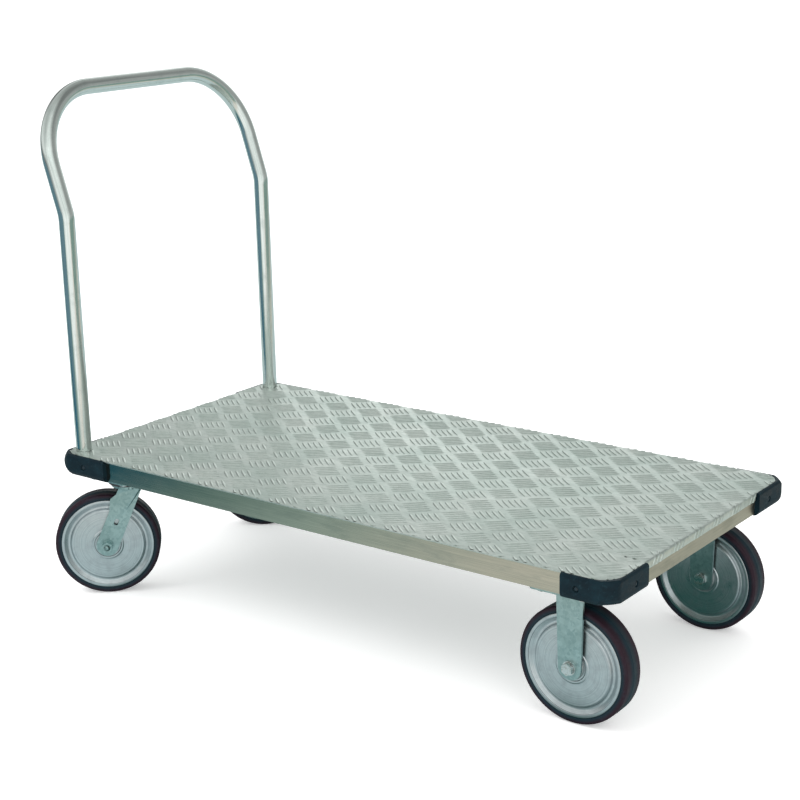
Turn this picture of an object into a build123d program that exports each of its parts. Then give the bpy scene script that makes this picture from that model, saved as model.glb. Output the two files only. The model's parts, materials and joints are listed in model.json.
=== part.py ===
"""Flatbed platform truck: a tread-plate deck on a channel frame, a fixed tube handle at the rear,
two swivel casters under the handle and two rigid casters at the front. Millimetres.

Shapes are drawn about the deck's centre, with Z = 0 on the floor, +X towards the rigid casters and
+Y to the left of a person pushing. They are shifted by DECK_X and DECK_Y when they are written, so
that the origin is on the floor under the middle of the whole truck at rest.
"""
from build123d import *
import math
import os

# ---- Driving dimensions ---------------------------------------------------------------------
DECK_X = 26.0            # where the deck's centre lies from the origin
DECK_Y = 18.0

DECK_LENGTH = 1200.0
DECK_WIDTH = 600.0
DECK_TOP = 280.0
PLATE = 3.0
PLATE_CORNER = 38.0      # plan radius of the plate's corners
LIP_DROP = 14.0          # the plate's two ends are folded down this far over the end rails
LIP_HALF_WIDTH = 193.0

RAIL_HEIGHT = 36.0       # channel rails, open towards the inside
RAIL_DEPTH = 30.0
RAIL_WALL = 3.0
RAIL_INSET = 3.0         # the rails' outer faces lie this far inside the plate's edge
CORNER_SQUARE = 42.0     # each corner casting fills this much of both sides
SPIGOT_LENGTH = 25.0     # how far a casting's spigots reach into the rails
SPIGOT_BASE = 13.2       # the spigots start this far above the rail's underside
SPIGOT_GAP = 0.2

BUMPER_WALL = 9.0
BUMPER_LIP = 3.0         # height of the lip under the rail
BUMPER_LIP_REACH = 12.0  # width of the lip, from the bumper's outer face
BUMPER_CORNER = 26.0     # plan radius of the bumper's outer corner
BUMPER_TOP_EDGE = 5.0    # rounding of the bumper's outer edges
BUMPER_LOW_EDGE = 11.0
NOSE_X = 540.0           # the round nose on a bumper's corner turns about this upright axis
NOSE_Y = 240.0
NOSE_Z = 262.0
NOSE_REACH = 56.6
NOSE_R = 26.0
BUMPER_END_LEG = 196.0   # |y| where the legs on the two ends stop
BUMPER_SIDE_LEG = {"front": 512.0, "rear": 485.0}  # |x| where the legs on the long sides stop

RIVET_SIDE_X = 540.0
RIVET_END_Y = 235.0
RIVET_Z = 259.0
RIVET_R = 2.0
RIVET_HEAD_R = 4.5
RIVET_HEAD_HEIGHT = 2.0
RIVET_SINK_R = 5.6
RIVET_SINK = 2.4
RIVET_LENGTH = 13.5

BEAM_WIDTH = 100.0       # upright channel across the frame over each pair of casters
BEAM_WALL = 4.0
RIB_WIDTH = 40.0         # inverted channels under the plate
RIB_XS = (-225.0, 0.0, 225.0)

SCREW_R = 2.1
SCREW_HEAD_R = 4.2
SCREW_HEAD_HEIGHT = 2.4
SCREW_BITE = 1.4         # how far a deck screw goes into the plate
SCREW_SIDE_XS = (-400.0, -130.0, 130.0, 400.0)
SCREW_END_YS = (-150.0, 0.0, 150.0)
SCREW_RIB_YS = (-130.0, 130.0)

TUBE_R = 15.0
TUBE_WALL = 2.0
POST_X = -572.0
POST_Y = 270.0
LEAN_Z = 732.0           # height where the posts start to lean back
LEAN_LENGTH = 231.0
LEAN_DEG = 17.6
LEAN_RADIUS = 80.0
TOP_RADIUS = 138.0
SOCKET_R = 21.0
SOCKET_FLOOR = 3.0
SOCKET_GAP = 0.15
PLATE_HOLE_R = 15.5
HANDLE_BOLT_SEAT = 18.0  # distance of the bolt head's seat from the post's axis
HANDLE_BOLT_REACH = 8.0
SPOT_FACE_R = 8.5

BOLT_R = 4.0             # M8 fasteners
BOLT_FLATS = 13.0
BOLT_HEAD = 5.3
NUT_HEIGHT = 6.5
BOLT_TAIL = 2.0
BOLT_GAP = 0.4           # radial gap of a bolt in its clearance hole
THREAD_GAP = 0.05

CASTER_X = 500.0         # kingpins and rigid axles, from the deck's centre
CASTER_Y = 225.0
CASTER_PLATE_X = 110.0
CASTER_PLATE_Y = 135.0
CASTER_PLATE = 5.0
PATTERN_X = 75.0
PATTERN_Y = 105.0
PLATE_ROUND = 10.0
FORK_WALL = 4.0
FORK_INNER = 27.0        # half the gap between a fork's legs
LEG_END_R = 21.0
TRAIL = 48.0             # from the kingpin's axis to the swivel wheel's axle
SWIVEL_DEG = {"left": -143.5, "right": -138.6}  # rest direction from kingpin to axle

WHEEL_R = 100.0
TREAD_WIDTH = 45.0
TYRE_SHOULDER = 4.5
RIM_LIP_R = 88.0
RIM_SEAT_R = 84.5
RIM_INNER_R = 82.0
RIM_WALL = 2.5
DISC_FACE = 22.0         # the pressed discs' outer faces, from the wheel's middle plane
DISC_GROOVE = 5.5
DISC_FLAT_R = 67.5       # where the flat face ends
DISC_BEND_R = 71.5       # where the groove's floor starts
DISC_RISE = 1.5          # the disc's edge against the rim ends this far below its face
HUB_R = 22.0
HUB_BORE_R = 14.1
HUB_HALF = 26.0
SLEEVE_R = 10.0
ROLLER_R = 2.0
ROLLER_PITCH_R = 12.05
ROLLER_COUNT = 16
ROLLER_HALF = 21.0
CAGE_WIDTH = 2.0
AXLE_R = 6.0             # M12 axle bolt
AXLE_FLATS = 18.0
AXLE_HEAD = 7.5
AXLE_NUT = 10.0
WASHER_R = 12.0
WASHER = 2.0
AXLE_TAIL = 3.0

KINGPIN_R = 6.0
KINGPIN_HEAD_R = 12.0
KINGPIN_HEAD = 6.0
KINGPIN_HOLE_R = 6.08
KINGPIN_NUT = 7.8
UPPER_RACE = (24.0, 38.0)
LOWER_RACE = (22.0, 36.0)
LOWER_RACE_HEIGHT = 3.0
BALL_R = 4.0
BALL_PITCH_R = 30.0
BALL_COUNT = 18
BALL_GAP = 0.1
SEAL_WALL = 2.9
SEAL_GAP = 0.1
SEAL_RISE = 1.0          # the seal starts this far above the crown
SEAL_OVERLAP = 2.0       # and covers this much of the upper race
CROWN_TOP = 218.0        # the swivel fork's crown
CROWN_WALL = 5.0
CROWN_BACK = -24.0
CROWN_FRONT = 18.0
KNEE = ((18.0, 206.0), (37.0, 194.0), (42.0, 155.0), (18.0, 155.0))  # a leg's front shoulder
KNEE_ROUND = 6.0
SLOT_UP = 50.7           # the oblong hole in a swivel leg, from the axle
SLOT_DEG = 113.0
SLOT_LENGTH = 14.0
SLOT_WIDTH = 8.0
BRACKET_HALF = 25.0      # half width of a rigid leg at the top

# ---- Derived values --------------------------------------------------------------------------
PLATE_UNDER = DECK_TOP - PLATE
RAIL_BOTTOM = PLATE_UNDER - RAIL_HEIGHT
HALF_X = DECK_LENGTH / 2 - RAIL_INSET          # outer faces of the rails
HALF_Y = DECK_WIDTH / 2 - RAIL_INSET
CASTING_R = CORNER_SQUARE - RAIL_INSET         # plan radius of the castings' outer corner
RAIL_END_X = HALF_X - CORNER_SQUARE
RAIL_END_Y = HALF_Y - CORNER_SQUARE
INSIDE_Y = HALF_Y - RAIL_DEPTH
INSIDE_X = HALF_X - RAIL_DEPTH
BUMPER_X = HALF_X + BUMPER_WALL
BUMPER_Y = HALF_Y + BUMPER_WALL
CASTER_TOP = RAIL_BOTTOM
CASTER_UNDER = CASTER_TOP - CASTER_PLATE
CROWN_UNDER = CROWN_TOP - CROWN_WALL
BALL_Z = CROWN_TOP + LOWER_RACE_HEIGHT + BALL_R
RACE_UNDER = BALL_Z + BALL_R + BALL_GAP
FORK_OUTER = FORK_INNER + FORK_WALL
SIDES = {"left": 1, "right": -1}
ENDS = {"front": 1, "rear": -1}


# ---- Small helpers ---------------------------------------------------------------------------
def block(x0, x1, y0, y1, z0, z1):
    """Box between two corners."""
    low = (min(x0, x1), min(y0, y1), min(z0, z1))
    size = (abs(x1 - x0), abs(y1 - y0), abs(z1 - z0))
    corner = (Align.MIN, Align.MIN, Align.MIN)
    return Pos(*low) * Box(*size, align=corner)


def rod(start, direction, radius, length):
    """Cylinder from a point along a direction."""
    return Plane(origin=start, z_dir=direction) * Cylinder(
        radius, length, align=(Align.CENTER, Align.CENTER, Align.MIN)
    )


def ring(outer, inner, z0, z1):
    """Upright ring about Z."""
    return rod((0, 0, z0), (0, 0, 1), outer, z1 - z0) - rod((0, 0, z0), (0, 0, 1), inner, z1 - z0)


def turned(points):
    """Solid of revolution about Y through (radius, y) points."""
    return revolve(make_face(Polyline(*points, close=True)), Axis.Y)


def hexagon(flats, height):
    """Hexagonal prism on Z = 0."""
    return extrude(RegularPolygon(flats / 2, 6, major_radius=False), height)


def hex_bolt(radius, flats, head, length):
    """Bolt with the underside of its head on Z = 0 and its shank up +Z."""
    bolt = Pos(0, 0, -head) * hexagon(flats, head)
    return bolt + rod((0, 0, 0), (0, 0, 1), radius, length)


def hex_nut(radius, flats, height):
    """Nut standing on Z = 0."""
    return hexagon(flats, height) - rod((0, 0, 0), (0, 0, 1), radius + THREAD_GAP, height)


def to_quarter(shape, end, side):
    """Mirror a shape drawn in the +X +Y quarter into another quarter."""
    if end < 0:
        shape = mirror(shape, about=Plane.YZ)
    if side < 0:
        shape = mirror(shape, about=Plane.XZ)
    return shape


def at_points(shape, points):
    """One copy of a shape at each (x, y, z)."""
    return [Pos(*point) * shape for point in points]


def group(shapes):
    """Separate solids that share one node."""
    return Compound([solid for shape in shapes for solid in shape.solids()])


# ---- Deck and frame --------------------------------------------------------------------------
def screw_points():
    """Where the deck screws stand, on the underside of the rails' and ribs' top walls."""
    z = PLATE_UNDER - RAIL_WALL
    side_y = HALF_Y - RAIL_DEPTH / 2
    end_x = HALF_X - RAIL_DEPTH / 2
    sides = [(x, s * side_y, z) for x in SCREW_SIDE_XS for s in (-1, 1)]
    ends = [(e * end_x, y, z) for e in (-1, 1) for y in SCREW_END_YS]
    ribs = [(x, y, z) for x in RIB_XS for y in SCREW_RIB_YS]
    return sides + ends + ribs


def deck_screws():
    screw = Pos(0, 0, -SCREW_HEAD_HEIGHT) * rod((0, 0, 0), (0, 0, 1), SCREW_HEAD_R, SCREW_HEAD_HEIGHT)
    screw += rod((0, 0, 0), (0, 0, 1), SCREW_R, RAIL_WALL + SCREW_BITE)
    return group(at_points(screw, screw_points()))


def screw_holes():
    """Clearance through the top walls and blind pilots in the plate."""
    hole = rod((0, 0, 0), (0, 0, 1), SCREW_R + SPIGOT_GAP, RAIL_WALL)
    hole += rod((0, 0, 0), (0, 0, 1), SCREW_R + THREAD_GAP, RAIL_WALL + SCREW_BITE + SPIGOT_GAP)
    return at_points(hole, screw_points())


def deck_plate():
    outline = RectangleRounded(DECK_LENGTH, DECK_WIDTH, PLATE_CORNER)
    plate = Pos(0, 0, PLATE_UNDER) * extrude(outline, PLATE)
    for end in (-1, 1):
        plate += block(
            end * HALF_X, end * (HALF_X + PLATE), -LIP_HALF_WIDTH, LIP_HALF_WIDTH,
            DECK_TOP - LIP_DROP, PLATE_UNDER,
        )
    for side in (-1, 1):
        plate -= rod((POST_X, side * POST_Y, PLATE_UNDER), (0, 0, 1), PLATE_HOLE_R, PLATE)
    return plate - screw_holes()


def channel(length, depth, height, wall, open_side):
    """Channel along X, centred, from Y = 0 to its depth and Z = 0 to its height."""
    low_y = 0 if open_side == "low_y" else wall
    low_z = 0 if open_side == "low_z" else wall
    high_z = height if open_side == "high_z" else height - wall
    body = block(-length / 2, length / 2, 0, depth, 0, height)
    return body - block(-length / 2, length / 2, low_y, depth - wall, low_z, high_z)


def side_rail(side):
    rail = channel(2 * RAIL_END_X, RAIL_DEPTH, RAIL_HEIGHT, RAIL_WALL, "low_y")
    rail = Pos(0, INSIDE_Y, RAIL_BOTTOM) * rail
    rail = to_quarter(rail, 1, side)
    rail -= screw_holes()
    rail -= caster_bolt_holes()
    for x in (-RIVET_SIDE_X, RIVET_SIDE_X):
        rail -= rod((x, side * BUMPER_Y, RIVET_Z), (0, -side, 0), RIVET_R + SPIGOT_GAP, RAIL_DEPTH)
    return rail


def end_rail(end):
    rail = channel(2 * RAIL_END_Y, RAIL_DEPTH, RAIL_HEIGHT, RAIL_WALL, "low_y")
    rail = Rot(0, 0, 90) * Pos(0, INSIDE_X, RAIL_BOTTOM) * rail
    rail = to_quarter(rail, -end, 1)
    rail -= screw_holes()
    for y in (-RIVET_END_Y, RIVET_END_Y):
        rail -= rod((end * BUMPER_X, y, RIVET_Z), (-end, 0, 0), RIVET_R + SPIGOT_GAP, RAIL_DEPTH)
    return rail


def rivet_axes():
    """Point on the bumper's face and inward direction of each rivet of a +X +Y corner."""
    return (
        ((RIVET_SIDE_X, BUMPER_Y, RIVET_Z), (0, -1, 0)),
        ((BUMPER_X, RIVET_END_Y, RIVET_Z), (-1, 0, 0)),
    )


def corner_casting(end, side):
    """Corner block with a spigot into each rail. The two rear ones hold the handle's posts."""
    square = extrude(RectangleRounded(2 * HALF_X, 2 * HALF_Y, CASTING_R), RAIL_HEIGHT)
    square = Pos(0, 0, RAIL_BOTTOM) * square
    keep_x = RAIL_END_X + SPIGOT_GAP
    keep_y = RAIL_END_Y + SPIGOT_GAP
    casting = square & block(keep_x, HALF_X, keep_y, HALF_Y, RAIL_BOTTOM, PLATE_UNDER)
    low = RAIL_BOTTOM + SPIGOT_BASE
    high = PLATE_UNDER - RAIL_WALL - SPIGOT_GAP
    wall = RAIL_WALL + SPIGOT_GAP
    casting += block(
        keep_x - SPIGOT_LENGTH, keep_x, INSIDE_Y + SPIGOT_GAP, HALF_Y - wall, low, high
    )
    casting += block(
        INSIDE_X + RAIL_WALL, HALF_X - wall, keep_y - SPIGOT_LENGTH, keep_y, low, high
    )
    if end < 0:
        centre = (-POST_X, POST_Y, RAIL_BOTTOM)
        boss = rod(centre, (0, 0, 1), SOCKET_R, RAIL_HEIGHT) & square
        boss -= block(0, keep_x, INSIDE_Y, HALF_Y, RAIL_BOTTOM, PLATE_UNDER)
        boss -= block(INSIDE_X, HALF_X, 0, keep_y, RAIL_BOTTOM, PLATE_UNDER)
        casting += boss
        bore_z = RAIL_BOTTOM + SOCKET_FLOOR
        casting -= rod((-POST_X, POST_Y, bore_z), (0, 0, 1), TUBE_R + SOCKET_GAP, RAIL_HEIGHT)
        seat = Plane(origin=(-POST_X, POST_Y, RIVET_Z), z_dir=(-1, -1, 0))
        casting -= seat * rod((0, 0, HANDLE_BOLT_SEAT), (0, 0, 1), SPOT_FACE_R, SOCKET_R)
        casting -= seat * rod((0, 0, 0), (0, 0, 1), BOLT_R + THREAD_GAP, HANDLE_BOLT_SEAT)
    for point, inward in rivet_axes():
        casting -= rod(point, inward, RIVET_R + THREAD_GAP, RIVET_LENGTH + RIVET_SINK)
    return to_quarter(casting, end, side)


def nose_body():
    """What a +X +Y bumper keeps: a round-edged drum at its corner, and both of its legs."""
    drum = make_face(Polyline(
        (0, -NOSE_R), (NOSE_REACH, -NOSE_R), (NOSE_REACH, NOSE_R), (0, NOSE_R), close=True
    ))
    drum += Pos(NOSE_REACH, 0) * Circle(NOSE_R)
    nose = Pos(NOSE_X, NOSE_Y, NOSE_Z) * revolve(Plane.XZ * drum, Axis.Z)
    low = NOSE_Z - NOSE_R
    high = NOSE_Z + NOSE_R
    nose += block(0, NOSE_X, 0, BUMPER_Y, low, high)
    return nose + block(0, BUMPER_X, 0, NOSE_Y, low, high)


def bumper(end, side):
    """Moulded corner guard, level with the deck, with a lip under the rail."""
    end_name = "front" if end > 0 else "rear"
    bottom = RAIL_BOTTOM - BUMPER_LIP
    outline = RectangleRounded(2 * BUMPER_X, 2 * BUMPER_Y, BUMPER_CORNER)
    guard = Pos(0, 0, bottom) * extrude(outline, DECK_TOP - bottom)
    guard = fillet(guard.faces().sort_by(Axis.Z)[0].edges(), BUMPER_LOW_EDGE)
    guard = fillet(guard.faces().sort_by(Axis.Z)[-1].edges(), BUMPER_TOP_EDGE)
    rails = RectangleRounded(2 * HALF_X, 2 * HALF_Y, CASTING_R)
    plate = RectangleRounded(DECK_LENGTH, DECK_WIDTH, PLATE_CORNER)
    lip_x = BUMPER_X - BUMPER_LIP_REACH
    lip_y = BUMPER_Y - BUMPER_LIP_REACH
    lip_r = CASTING_R + BUMPER_WALL - BUMPER_LIP_REACH
    guard -= Pos(0, 0, bottom) * extrude(RectangleRounded(2 * lip_x, 2 * lip_y, lip_r), BUMPER_LIP)
    guard -= Pos(0, 0, RAIL_BOTTOM) * extrude(rails, RAIL_HEIGHT)
    guard -= Pos(0, 0, PLATE_UNDER) * extrude(plate, PLATE)
    guard &= block(BUMPER_SIDE_LEG[end_name], BUMPER_X, BUMPER_END_LEG, BUMPER_Y, bottom, DECK_TOP)
    guard &= nose_body()
    for point, inward in rivet_axes():
        guard -= rod(point, inward, RIVET_SINK_R, RIVET_SINK)
        guard -= rod(point, inward, RIVET_R + THREAD_GAP, BUMPER_WALL)
    return to_quarter(guard, end, side)


def bumper_rivets():
    sphere_r = (RIVET_HEAD_R**2 + RIVET_HEAD_HEIGHT**2) / (2 * RIVET_HEAD_HEIGHT)
    dome = Pos(0, 0, RIVET_HEAD_HEIGHT - sphere_r) * Sphere(sphere_r)
    dome &= rod((0, 0, 0), (0, 0, 1), RIVET_HEAD_R, RIVET_HEAD_HEIGHT)
    rivet = dome + rod((0, 0, 0), (0, 0, -1), RIVET_R, RIVET_LENGTH)
    rivets = []
    for point, inward in rivet_axes():
        seat = Vector(*point) + Vector(*inward) * RIVET_SINK
        placed = Plane(origin=seat, z_dir=-Vector(*inward)) * rivet
        rivets += [to_quarter(placed, end, side) for end in (-1, 1) for side in (-1, 1)]
    return group(rivets)


def caster_beam(end):
    """Upright channel between the side rails, over a pair of casters."""
    width = 2 * INSIDE_Y
    beam = channel(width, BEAM_WIDTH, RAIL_HEIGHT, BEAM_WALL, "high_z")
    beam = Rot(0, 0, 90) * Pos(0, -BEAM_WIDTH / 2, 0) * beam
    beam = Pos(end * CASTER_X, 0, RAIL_BOTTOM) * beam
    beam -= caster_bolt_holes()
    if end < 0:
        for side in (-1, 1):
            centre = (end * CASTER_X, side * CASTER_Y, RAIL_BOTTOM)
            beam -= rod(centre, (0, 0, 1), LOWER_RACE[0], BEAM_WALL)
    return beam


def floor_ribs():
    rib = channel(2 * INSIDE_Y, RIB_WIDTH, RAIL_HEIGHT, RAIL_WALL, "low_z")
    rib = Rot(0, 0, 90) * Pos(0, -RIB_WIDTH / 2, RAIL_BOTTOM) * rib
    return group([Pos(x, 0, 0) * rib - screw_holes() for x in RIB_XS])


# ---- Handle ----------------------------------------------------------------------------------
def handle_tube():
    """One tube from socket to socket: straight posts, a lean back and a rounded top."""
    lean = math.radians(LEAN_DEG)
    top_x = POST_X - LEAN_LENGTH * math.sin(lean)
    top_z = LEAN_Z + LEAN_LENGTH * math.cos(lean)
    foot_z = RAIL_BOTTOM + SOCKET_FLOOR
    left = [(POST_X, POST_Y, foot_z), (POST_X, POST_Y, LEAN_Z), (top_x, POST_Y, top_z)]
    right = [(x, -y, z) for x, y, z in reversed(left)]
    radii = [LEAN_RADIUS, TOP_RADIUS, TOP_RADIUS, LEAN_RADIUS]
    path = FilletPolyline(*(left + right), radius=radii)
    section = Plane(origin=left[0], z_dir=(0, 0, 1)) * (Circle(TUBE_R) - Circle(TUBE_R - TUBE_WALL))
    tube = sweep(section, path=path)
    for side in (-1, 1):
        start = (POST_X, side * POST_Y, RIVET_Z)
        tube -= rod(start, (1, -side, 0), BOLT_R + BOLT_GAP, TUBE_R + 1)
    return tube


def handle_bolts():
    """A bolt through each socket into the post, from the frame's inside."""
    bolt = hex_bolt(BOLT_R, BOLT_FLATS, BOLT_HEAD, HANDLE_BOLT_REACH)
    bolts = []
    for side in (-1, 1):
        inward = Vector(1, -side, 0).normalized()
        seat = Vector(POST_X, side * POST_Y, RIVET_Z) + inward * HANDLE_BOLT_SEAT
        bolts.append(Plane(origin=seat, z_dir=-inward) * bolt)
    return group(bolts)


# ---- Casters ---------------------------------------------------------------------------------
def caster_bolt_points():
    """Plan positions of the sixteen mounting bolts, with the wall that each one clamps."""
    points = []
    for end in (-1, 1):
        for side in (-1, 1):
            for dx in (-PATTERN_X / 2, PATTERN_X / 2):
                x = end * CASTER_X + dx
                points.append((x, side * (CASTER_Y + PATTERN_Y / 2), RAIL_WALL))
                points.append((x, side * (CASTER_Y - PATTERN_Y / 2), BEAM_WALL))
    return points


def caster_bolt_holes():
    holes = [(x, y, CASTER_UNDER) for x, y, _ in caster_bolt_points()]
    return at_points(rod((0, 0, 0), (0, 0, 1), BOLT_R + BOLT_GAP, CASTER_PLATE + BEAM_WALL), holes)


def caster_bolts():
    solids = []
    for x, y, wall in caster_bolt_points():
        grip = CASTER_PLATE + wall
        bolt = hex_bolt(BOLT_R, BOLT_FLATS, BOLT_HEAD, grip + NUT_HEIGHT + BOLT_TAIL)
        solids.append(Pos(x, y, CASTER_UNDER) * bolt)
        solids.append(Pos(x, y, CASTER_UNDER + grip) * hex_nut(BOLT_R, BOLT_FLATS, NUT_HEIGHT))
    return group(solids)


def mounting_plate():
    """Rectangular caster plate about its own centre, top face at the frame's underside."""
    plate = extrude(RectangleRounded(CASTER_PLATE_X, CASTER_PLATE_Y, PLATE_ROUND), CASTER_PLATE)
    plate = Pos(0, 0, CASTER_UNDER) * plate
    corners = [(x, y) for x in (-PATTERN_X / 2, PATTERN_X / 2) for y in (-PATTERN_Y / 2, PATTERN_Y / 2)]
    for x, y in corners:
        plate -= rod((x, y, CASTER_UNDER), (0, 0, 1), BOLT_R + BOLT_GAP, CASTER_PLATE)
    return plate


def top_plate():
    """Swivel caster's fixed plate with its pressed upper race."""
    plate = mounting_plate() + ring(UPPER_RACE[1], UPPER_RACE[0], RACE_UNDER, CASTER_UNDER)
    return plate - rod((0, 0, CASTER_UNDER), (0, 0, 1), KINGPIN_R + THREAD_GAP, CASTER_PLATE)


def kingpin():
    nut_z = CROWN_UNDER - KINGPIN_NUT - BALL_GAP
    pin = rod((0, 0, CASTER_TOP), (0, 0, 1), KINGPIN_HEAD_R, KINGPIN_HEAD)
    pin += rod((0, 0, nut_z), (0, 0, 1), KINGPIN_R, CASTER_TOP - nut_z)
    nut = Pos(0, 0, nut_z) * hexagon(AXLE_FLATS, KINGPIN_NUT)
    return pin + nut


def seal_ring():
    inner = UPPER_RACE[1] + SEAL_GAP
    return ring(inner + SEAL_WALL, inner, CROWN_TOP + SEAL_RISE, RACE_UNDER + SEAL_OVERLAP)


def race_balls():
    step = 360 / BALL_COUNT
    ball = Pos(BALL_PITCH_R, 0, BALL_Z) * Sphere(BALL_R)
    return group([Rot(0, 0, i * step) * ball for i in range(BALL_COUNT)])


def leg_profile(top, back, front, axle_x):
    """Side outline of a fork leg, from its top edge down to a round end about the axle."""
    low = top - CROWN_WALL
    head = Polyline((back, low), (back, top), (front, top), (front, low))
    end = Pos(axle_x, WHEEL_R) * Circle(LEG_END_R)
    return make_hull(end.edges() + head.edges())


def stand_leg(profile, inner_y):
    """Stand a side outline up in the XZ plane, one wall thick, from |y| = inner_y outwards."""
    upright = Plane(origin=(0, inner_y, 0), x_dir=(1, 0, 0), z_dir=(0, -1, 0))
    return Pos(0, FORK_WALL, 0) * extrude(upright * profile, FORK_WALL)


def both_legs(profile, axle_x):
    profile -= Pos(axle_x, WHEEL_R) * Circle(AXLE_R + BOLT_GAP)
    return stand_leg(profile, FORK_INNER) + stand_leg(profile, -FORK_OUTER)


def swivel_fork():
    """Crown with two leaning legs and the lower race, trail towards +X."""
    knee = make_face(Polyline(*KNEE, close=True))
    knee = fillet(knee.vertices().sort_by(Axis.X)[-2:], KNEE_ROUND)
    profile = leg_profile(CROWN_TOP, CROWN_BACK, CROWN_FRONT, TRAIL) + knee
    slot = Rot(0, 0, SLOT_DEG) * Pos(SLOT_UP, 0) * SlotOverall(SLOT_LENGTH, SLOT_WIDTH)
    profile -= Pos(TRAIL, WHEEL_R) * slot
    fork = both_legs(profile, TRAIL)
    fork += block(CROWN_BACK, CROWN_FRONT, -FORK_OUTER, FORK_OUTER, CROWN_UNDER, CROWN_TOP)
    bends = [e for e in fork.edges().filter_by(Axis.X) if is_bend(e, CROWN_TOP)]
    fork = fillet(bends, FORK_WALL)
    fork += ring(LOWER_RACE[1], LOWER_RACE[0], CROWN_UNDER, CROWN_TOP + LOWER_RACE_HEIGHT)
    return fork - rod((0, 0, CROWN_UNDER), (0, 0, 1), KINGPIN_HOLE_R, CROWN_WALL)


def is_bend(edge, top):
    """True for a long outer edge where a leg turns into the web above it."""
    middle = edge.center()
    return abs(middle.Z - top) < 0.01 and abs(abs(middle.Y) - FORK_OUTER) < 0.01


def rigid_bracket():
    """Mounting plate with a fixed U-shaped fork."""
    profile = leg_profile(CASTER_UNDER, -BRACKET_HALF, BRACKET_HALF, 0)
    web = block(
        -BRACKET_HALF, BRACKET_HALF, -FORK_OUTER, FORK_OUTER, CASTER_UNDER - FORK_WALL, CASTER_UNDER
    )
    fork = both_legs(profile, 0) + web
    bends = [e for e in fork.edges().filter_by(Axis.X) if is_bend(e, CASTER_UNDER)]
    return fillet(bends, FORK_WALL) + mounting_plate()


def axle_bolt():
    """Axle bolt along Y with a washer at each end and a nut, about the wheel's centre."""
    out = FORK_OUTER
    shank = 2 * (out + WASHER) + AXLE_NUT + AXLE_TAIL
    bolt = hex_bolt(AXLE_R, AXLE_FLATS, AXLE_HEAD, shank)
    washer = ring(WASHER_R, AXLE_R + THREAD_GAP, 0, WASHER)
    nut = Pos(0, 0, 2 * (out + WASHER)) * hex_nut(AXLE_R, AXLE_FLATS, AXLE_NUT)
    far_washer = Pos(0, 0, WASHER + 2 * out) * washer
    along = Plane(origin=(0, -out - WASHER, 0), z_dir=(0, 1, 0))
    return [along * solid for solid in (bolt, washer, far_washer, nut)]


def axle_sleeve():
    return turned([
        (AXLE_R + SEAL_GAP, -FORK_INNER), (SLEEVE_R, -FORK_INNER),
        (SLEEVE_R, FORK_INNER), (AXLE_R + SEAL_GAP, FORK_INNER),
    ])


def wheel_rim():
    """Rolled band with a lip each side that the tyre sits in."""
    half = TREAD_WIDTH / 2
    inside = half - RIM_WALL
    return turned([
        (RIM_INNER_R, -half), (RIM_LIP_R, -half), (RIM_LIP_R, -inside), (RIM_SEAT_R, -inside),
        (RIM_SEAT_R, inside), (RIM_LIP_R, inside), (RIM_LIP_R, half), (RIM_INNER_R, half),
    ])


def wheel_discs():
    """Two pressed discs, each with a flat face and a round groove beside the rim."""
    face = DISC_FACE
    floor = DISC_FACE - DISC_GROOVE
    groove_r = RIM_INNER_R - RIM_WALL
    edge = face - DISC_RISE
    under = RIM_WALL
    disc = turned([
        (HUB_R, face), (DISC_FLAT_R, face), (DISC_BEND_R, floor), (groove_r, floor),
        (groove_r, edge), (RIM_INNER_R, edge), (RIM_INNER_R, floor - under),
        (DISC_BEND_R - 1, floor - under), (DISC_FLAT_R - 1, face - under), (HUB_R, face - under),
    ])
    return [disc, mirror(disc, about=Plane.XZ)]


def wheel_hub():
    return turned([
        (HUB_BORE_R, -HUB_HALF), (HUB_R, -HUB_HALF), (HUB_R, HUB_HALF), (HUB_BORE_R, HUB_HALF),
    ])


def roller_bearing():
    """Rollers between sleeve and hub, with the cage's two rings."""
    roller = Pos(ROLLER_PITCH_R, 0, 0) * rod((0, -ROLLER_HALF, 0), (0, 1, 0), ROLLER_R, 2 * ROLLER_HALF)
    step = 360 / ROLLER_COUNT
    solids = [Rot(0, i * step, 0) * roller for i in range(ROLLER_COUNT)]
    inner = SLEEVE_R + SPIGOT_GAP
    outer = HUB_BORE_R - SPIGOT_GAP
    for low in (ROLLER_HALF, -ROLLER_HALF - CAGE_WIDTH):
        high = low + CAGE_WIDTH
        solids.append(turned([(inner, low), (outer, low), (outer, high), (inner, high)]))
    return solids


def tyre():
    """Solid rubber tyre between the rim's lips, flush with them at the sides."""
    half = TREAD_WIDTH / 2
    inside = half - RIM_WALL
    profile = make_face(Polyline(
        (RIM_SEAT_R, -inside), (RIM_LIP_R, -inside), (RIM_LIP_R, -half), (WHEEL_R, -half),
        (WHEEL_R, half), (RIM_LIP_R, half), (RIM_LIP_R, inside), (RIM_SEAT_R, inside), close=True,
    ))
    shoulders = [v for v in profile.vertices() if abs(v.X - WHEEL_R) < 0.01]
    return revolve(fillet(shoulders, TYRE_SHOULDER), Axis.Y)


def wheel_pieces():
    """Every piece on a wheel's axle, about the wheel's centre with its axis along Y."""
    return {
        "axle_bolt": axle_bolt(),
        "axle_sleeve": [axle_sleeve()],
        "rim": [wheel_rim()],
        "discs": wheel_discs(),
        "hub": [wheel_hub()],
        "rollers": roller_bearing(),
        "tyre": [tyre()],
    }


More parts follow.
